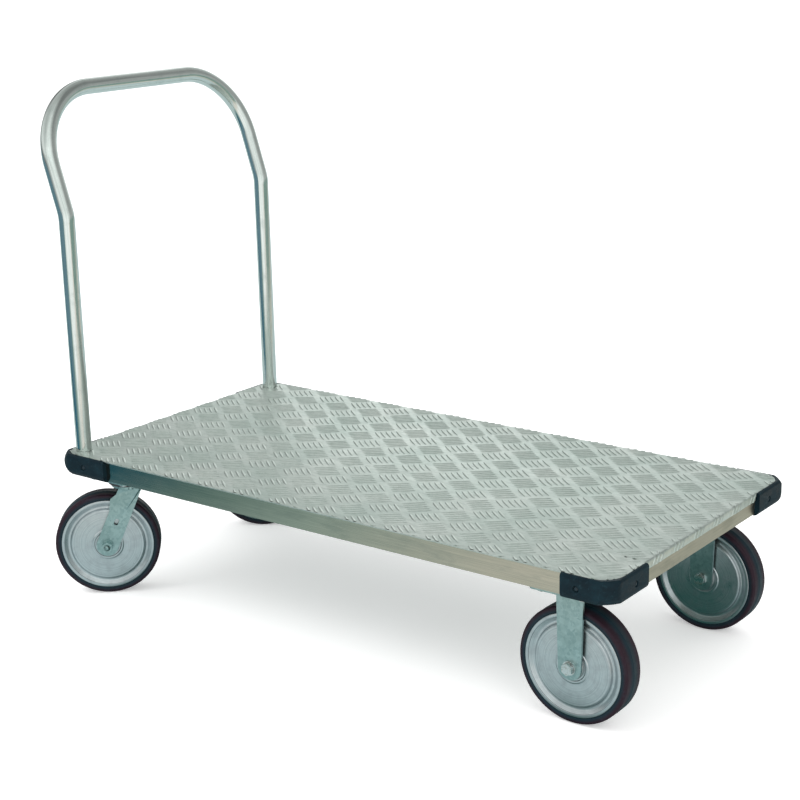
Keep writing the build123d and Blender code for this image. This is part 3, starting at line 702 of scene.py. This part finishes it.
def deck_tread():
    """The raised bars, cut off at the sheet's edges and folded down with its ends."""
    bm = bmesh.new()
    for centre, way in bar_places():
        inside_u = abs(centre.x) < SHEET_END + 0.01
        inside_v = abs(centre.y) < HALF_WIDTH + 0.01
        if inside_u and inside_v:
            add_bar(bm, centre, way)
    for vert in bm.verts:
        vert.co = folded(*vert.co)
    piece("deck_tread", bm, "chassis", DECK_LOOK, sharp_deg=70.0)


# ---- Handle ----------------------------------------------------------------------------------
def handle():
    """The tube from socket to socket, swept round along its bent line."""
    lean = math.radians(LEAN_DEG)
    foot_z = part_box("handle_tube")[0].z
    top_x = POST.x - LEAN_LENGTH * math.sin(lean)
    top_z = LEAN_Z + LEAN_LENGTH * math.cos(lean)
    half = [
        ((POST.x, POST.y, foot_z), 0), ((POST.x, POST.y, LEAN_Z), LEAN_RADIUS),
        ((top_x, POST.y, top_z), TOP_RADIUS),
    ]
    corners = half + [((x, -y, z), radius) for (x, y, z), radius in reversed(half)]
    line = rounded(corners, closed=False, steps=TUBE_BEND_STEPS)
    line = [point + Vector((DECK.x, DECK.y, 0)) for point in line]
    bm = bmesh.new()
    store = bm.verts.layers.float_vector.new("tube")
    side = Vector((1, 0, 0))
    travel = 0.0
    loops = []
    for i, point in enumerate(line):
        back = line[max(i - 1, 0)]
        ahead = line[min(i + 1, len(line) - 1)]
        along = (ahead - back).normalized()
        side = (side - along * side.dot(along)).normalized()
        up = along.cross(side)
        travel += (point - back).length
        loop = []
        for k in range(TUBE_SIDES):
            turn = math.tau * k / TUBE_SIDES
            arm = side * math.cos(turn) + up * math.sin(turn)
            vert = bm.verts.new(point + arm * TUBE_R)
            across = (math.cos(turn) * TUBE_R, math.sin(turn) * TUBE_R)
            vert[store] = Vector((*across, travel * 0.012))
            loop.append(vert)
        loops.append(loop)
    for first, second in zip(loops, loops[1:]):
        join_loops(bm, first, second)
    for loop in (loops[0], loops[-1]):
        bm.faces.new(loop)
    nodes = ["handle_tube"]
    piece("handle_tube_polished", bm, "chassis", HANDLE_LOOK, nodes)


# ---- Wheels ----------------------------------------------------------------------------------
# Sections as (radius, distance from the wheel's middle plane, corner radius), in millimetres.
TYRE = [[
    (84.6, -19.9, 0), (88.4, -19.9, 0), (88.4, -21.6, 0.3), (94.0, -22.4, 3.0), (97.6, -22.2, 3.4),
    (99.7, -18.6, 3.0), (99.92, -0.9, 0), (100.0, -0.7, 0.1), (100.0, 0.7, 0.1), (99.92, 0.9, 0),
    (99.7, 18.6, 3.0), (97.6, 22.2, 3.4), (94.0, 22.4, 3.0), (88.4, 21.6, 0.3), (88.4, 19.9, 0),
    (84.6, 19.9, 0),
]]
RIM = [[
    (82.0, -21.0, 0), (82.6, -22.5, 0.9), (88.0, -22.5, 1.2), (88.0, -20.0, 0.8),
    (84.5, -20.0, 1.2), (84.5, 20.0, 1.2), (88.0, 20.0, 0.8), (88.0, 22.5, 1.2),
    (82.6, 22.5, 0.9), (82.0, 21.0, 0),
]]
DISC = [
    (22.0, 22.0, 0), (24.5, 22.0, 1.0), (26.0, 23.2, 0.9), (28.5, 23.2, 0.9), (30.5, 22.0, 1.0),
    (69.0, 22.0, 2.6), (71.8, 16.6, 1.6), (75.5, 16.4, 3.0), (82.1, 20.9, 0),
    (82.1, 17.6, 0), (75.8, 13.6, 2.0), (70.0, 13.9, 1.6), (67.4, 19.5, 1.6), (22.0, 19.5, 0),
]
HUB = [[
    (14.1, -26.0, 0.6), (22.0, -26.0, 1.4), (22.0, 26.0, 1.4), (14.1, 26.0, 0.6),
]]


def spin_frame(name):
    """Place of a wheel: its centre, with its own Y along the axle."""
    joint = next(j for j in frame["joints"] if j["name"] == f"{name}_wheel_spin")
    axle = Vector(joint["axis"]).normalized()
    up = Vector((0, 0, 1))
    turn = Matrix((axle.cross(up), axle, up)).transposed()
    return Matrix.Translation(joint["pos_m"]) @ turn.to_4x4()


def wheel(name):
    """Every piece that turns with one wheel, and its axle bolt."""
    body = f"{name}_wheel"
    place = spin_frame(name)
    discs = [DISC, [(r, -y, rounding) for r, y, rounding in DISC]]
    lathe(f"{name}_tyre_moulded", TYRE, body, TYRE_LOOK, [f"{name}_tyre"], place)
    lathe(f"{name}_rim_rolled", RIM, body, WHEEL_LOOK, [f"{name}_rim"], place)
    lathe(f"{name}_discs_pressed", discs, body, WHEEL_LOOK, [f"{name}_discs"], place)
    lathe(f"{name}_hub_turned", HUB, body, HUB_LOOK, [f"{name}_hub"], place)
    painted(f"{name}_rollers", BEARING_LOOK)
    painted(f"{name}_axle_sleeve", BEARING_LOOK)
    bolt_look = FASTENER_LOOK if name.startswith("front") else ZINC_LOOK
    carried(f"{name}_axle_bolt", bolt_look)


# ---- Welds -----------------------------------------------------------------------------------
def add_weld(bm, start, end, out_a, out_b):
    """A rippled fillet bead from start to end, in the corner between two faces."""
    start, end, out_a, out_b = Vector(start), Vector(end), Vector(out_a), Vector(out_b)
    length = (end - start).length
    count = max(int(length / WELD_SLICE), 4)
    loops = []
    for i in range(count + 1):
        share = i / count
        ripple = 0.88 + 0.12 * abs(math.sin(share * length / WELD_RIPPLE * math.pi))
        start_taper = share * length / WELD_TAPER + 0.25
        end_taper = (1 - share) * length / WELD_TAPER + 0.25
        size = WELD_LEG * ripple * min(1.0, start_taper, end_taper)
        point = start.lerp(end, share)
        loop = [bm.verts.new(point - (out_a + out_b) * 0.0004)]
        for k in range(7):
            turn = math.pi / 2 * k / 6
            bulge = size * (0.80 + 0.12 * math.sin(2 * turn))
            face = out_a * math.cos(turn) * bulge
            loop.append(bm.verts.new(point + face + out_b * math.sin(turn) * bulge))
        loops.append(loop)
    for first, second in zip(loops, loops[1:]):
        join_loops(bm, first, second)
    for loop in (loops[0], loops[-1]):
        bm.faces.new(loop)


def frame_welds():
    """Beads where the caster beams and the ribs meet the side rails."""
    bm = bmesh.new()
    rail_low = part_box("side_rail_left")[0]
    inner = rail_low.y - DECK.y
    bottom = rail_low.z
    for end_name in ("front", "rear"):
        low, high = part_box(f"caster_beam_{end_name}")
        for side in (-1, 1):
            y = DECK.y + side * inner
            for x, out in ((low.x, -1), (high.x, 1)):
                start, end = (x, y, bottom + 0.002), (x, y, bottom + 0.030)
                add_weld(bm, start, end, (out, 0, 0), (0, -side, 0))
    ribs_low, ribs_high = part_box("floor_ribs")
    for x in (ribs_low.x + RIB_HALF, DECK.x, ribs_high.x - RIB_HALF):
        for side in (-1, 1):
            y = DECK.y + side * inner
            for out in (-1, 1):
                edge = x + out * RIB_HALF
                start, end = (edge, y, bottom + 0.001), (edge, y, bottom + 0.032)
                add_weld(bm, start, end, (out, 0, 0), (0, -side, 0))
    piece("frame_welds", bm, "chassis", WELD_LOOK, sharp_deg=60.0)


# ---- The truck -------------------------------------------------------------------------------
def truck():
    """Every piece of the truck."""
    deck_sheet()
    deck_tread()
    handle()
    frame_welds()
    for side in ("left", "right"):
        carried(f"side_rail_{side}", RAIL_LOOK)
        carried(f"rear_{side}_top_plate", ZINC_LOOK)
        carried(f"rear_{side}_fork", ZINC_LOOK)
        carried(f"front_{side}_bracket", ZINC_LOOK)
        carried(f"rear_{side}_kingpin", FASTENER_LOOK)
        painted(f"rear_{side}_race_balls", BEARING_LOOK)
        for end in ("front", "rear"):
            carried(f"{end}_corner_{side}", CAST_LOOK)
            carried(f"{end}_bumper_{side}", BUMPER_LOOK)
    for end in ("front", "rear"):
        carried(f"end_rail_{end}", END_RAIL_LOOK)
        carried(f"caster_beam_{end}", END_RAIL_LOOK)
    carried("floor_ribs", END_RAIL_LOOK)
    carried("caster_bolts", FASTENER_LOOK)
    carried("handle_bolts", FASTENER_LOOK)
    carried("bumper_rivets", RIVET_LOOK)
    carried("deck_screws", FASTENER_LOOK)
    carried("swivel_seals", SEAL_LOOK)
    for name in WHEELS:
        wheel(name)


# ---- Studio ----------------------------------------------------------------------------------
def stage_plane(name, half, material):
    """A level plane at floor height that belongs to the studio."""
    bm = bmesh.new()
    bmesh.ops.create_grid(bm, x_segments=2, y_segments=2, size=half)
    mesh = bpy.data.meshes.new(name)
    bm.to_mesh(mesh)
    bm.free()
    mesh.materials.append(material)
    obj = bpy.data.objects.new(name, mesh)
    scene.collection.objects.link(obj)
    return obj


def floor_material():
    """Pale matt floor that can be looked through from below."""
    look = Look("pale_floor")
    speck = look.noise(3.0, 2.0)
    tone = look.span(speck, 0.3, 0.7)
    look.colour(look.blend(tone, (0.93, 0.93, 0.93, 1), (0.95, 0.95, 0.95, 1)))
    look.shader.inputs["Roughness"].default_value = 0.9
    look.shader.inputs["Emission Color"].default_value = (1, 1, 1, 1)
    look.shader.inputs["Emission Strength"].default_value = 0.34
    clear = look.node("BsdfTransparent", {})
    back = look.node("NewGeometry", {}).outputs["Backfacing"]
    mix = look.node("MixShader", {0: back, 1: look.shader.outputs[0], 2: clear.outputs[0]})
    output = look.tree.nodes["Material Output"]
    look.tree.links.new(mix.outputs[0], output.inputs["Surface"])
    return look.material


def glow_material():
    """What bright metal sees in the floor: shade under the truck, and a room beyond the paper."""
    look = Look("floor_glow")
    x = look.math("SUBTRACT", look.axis("X"), DECK.x)
    y = look.math("SUBTRACT", look.axis("Y"), DECK.y)
    # Each stop blends in its colour from start to stop, in metres from the deck's centre.
    tone = (0.62, 0.74, 0.75, 1)
    for start, stop, colour in (
        (0.7, 1.0, (0.72, 0.68, 0.60, 1)),
        (1.4, 1.9, (0.26, 0.38, 0.34, 1)),
    ):
        tone = look.blend(look.span(x, start, stop), tone, colour)
    far = look.span(y, -1.3, -1.7)
    right = look.blend(far, (0.92, 0.87, 0.80, 1), (1.2, 1.22, 1.21, 1))
    band = look.blend(far, (0.03, 0.14, 0.20, 1), (0.16, 0.28, 0.34, 1))
    for start, stop, colour in (
        (-1.06, -0.79, (0.20, 0.32, 0.31, 1)),
        (-0.79, -0.47, (0.47, 0.59, 0.56, 1)),
        (-0.47, 0.06, right),
    ):
        band = look.blend(look.span(x, start, stop), band, colour)
    tone = look.blend(look.span(y, -0.69, -0.78), tone, band)
    reach_x = look.math("DIVIDE", look.math("ABSOLUTE", x), HALF_LENGTH)
    reach_y = look.math("DIVIDE", look.math("ABSOLUTE", y), HALF_WIDTH)
    reach = look.math("MAXIMUM", reach_x, reach_y)
    tone = look.blend(look.span(reach, 1.12, 0.86), tone, (0.02, 0.085, 0.075, 1))
    glow = look.node("Emission", {"Color": tone, "Strength": 1.0})
    look.tree.links.new(glow.outputs[0], look.tree.nodes["Material Output"].inputs["Surface"])
    return look.material


def only_reflected(obj):
    """A card that shows in reflections and nowhere else."""
    obj.visible_camera = False
    obj.visible_diffuse = False
    obj.visible_transmission = False
    obj.visible_volume_scatter = False
    obj.visible_shadow = False


def area_light(name, place, target, size, power, colour):
    """A soft light that bright metal doesn't mirror."""
    data = bpy.data.lights.new(name, "AREA")
    data.shape = "RECTANGLE"
    data.size, data.size_y = size
    data.energy = power
    data.color = colour
    obj = bpy.data.objects.new(name, data)
    obj.location = place
    obj.rotation_mode = "QUATERNION"
    obj.rotation_quaternion = (Vector(target) - Vector(place)).to_track_quat("-Z", "Y")
    obj.visible_glossy = False
    scene.collection.objects.link(obj)


def sky():
    """Even white light. Bright metal sees a lit backdrop at +Y and a dimmer room at -Y."""
    world = bpy.data.worlds.new("studio")
    world.use_nodes = True
    scene.world = world
    nodes = Nodes(world.node_tree)
    plain = nodes.tree.nodes["Background"]
    plain.inputs["Color"].default_value = (1, 1, 1, 1)
    plain.inputs["Strength"].default_value = 1.08
    way = nodes.node("TexCoord", {}).outputs["Generated"]
    up = nodes.axis("Z", way)
    side = nodes.axis("X", way)
    # Brightness goes by direction: up and side are parts of a unit vector.
    backdrop = nodes.span(up, 0.04, 0.28, 1.60, 1.33)
    for along, start, stop, before, after in (
        (up, 0.34, 0.72, 1.0, 0.54),
        (side, -0.77, -0.60, 0.16, 1.0),
        (side, -0.54, -0.34, 1.0, 0.64),
        (side, -0.10, 0.35, 1.0, 0.50),
    ):
        share = nodes.span(along, start, stop, before, after)
        backdrop = nodes.math("MULTIPLY", backdrop, share)
    room_low = nodes.span(side, -0.40, 0.30, 0.22, 1.15)
    room_right = nodes.span(up, 0.34, 0.44, 1.0, 1.6)
    room_high = nodes.span(side, -0.10, 0.40, 0.96, room_right)
    rise = nodes.math("SUBTRACT", room_high, room_low)
    rise = nodes.math("MULTIPLY", rise, nodes.span(up, 0.08, 0.24))
    room = nodes.math("ADD", room_low, rise)
    room = nodes.math("MULTIPLY", room, nodes.span(up, 0.34, 0.72, 1.0, 0.66))
    behind = nodes.span(nodes.axis("Y", way), -0.25, 0.30)
    extra = nodes.math("MULTIPLY", nodes.math("SUBTRACT", backdrop, room), behind)
    level = nodes.math("ADD", room, extra)
    mirrored = nodes.node("Background", {"Color": (0.955, 1.0, 0.985, 1), "Strength": level})
    ray = nodes.node("LightPath", {}).outputs["Is Glossy Ray"]
    mix = nodes.node("MixShader", {0: ray, 1: plain.outputs[0], 2: mirrored.outputs[0]})
    nodes.tree.links.new(mix.outputs[0], nodes.tree.nodes["World Output"].inputs["Surface"])


def studio():
    """Floor, its reflection card, the sky and two soft lights."""
    floor = stage_plane("studio_floor", FLOOR_HALF, floor_material())
    floor.visible_glossy = False
    mirror = stage_plane("studio_floor_reflection", REFLECTION_HALF, glow_material())
    only_reflected(mirror)
    sky()
    area_light("key", (-2.4, -2.2, 3.2), (0, 0, 0.3), (2.6, 2.0), 60, (1, 1, 1))
    area_light("fill", (3.4, -1.6, 2.4), (0, 0, 0.3), (2.2, 2.2), 22, (1.0, 0.98, 0.95))


def camera():
    """The view: from the front right, a little above the deck, with a long lens."""
    yaw = math.radians(37.12700)
    pitch = math.radians(15.85200)
    roll = math.radians(-1.28620)
    level = math.cos(pitch)
    forward = Vector((-math.sin(yaw) * level, math.cos(yaw) * level, -math.sin(pitch)))
    right = Vector((math.cos(yaw), math.sin(yaw), 0))
    up = right.cross(forward)
    turned_right = right * math.cos(roll) + up * math.sin(roll)
    turned_up = up * math.cos(roll) - right * math.sin(roll)
    turn = Matrix((turned_right, turned_up, -forward)).transposed()
    data = bpy.data.cameras.new("camera")
    data.sensor_width = 36.0
    data.lens = 75.902
    data.clip_end = 300.0
    obj = bpy.data.objects.new("camera", data)
    obj.matrix_world = Matrix.Translation(CAMERA_PLACE) @ turn.to_4x4()
    scene.collection.objects.link(obj)
    scene.camera = obj


truck()
studio()
camera()
scene.view_settings.view_transform = "Standard"
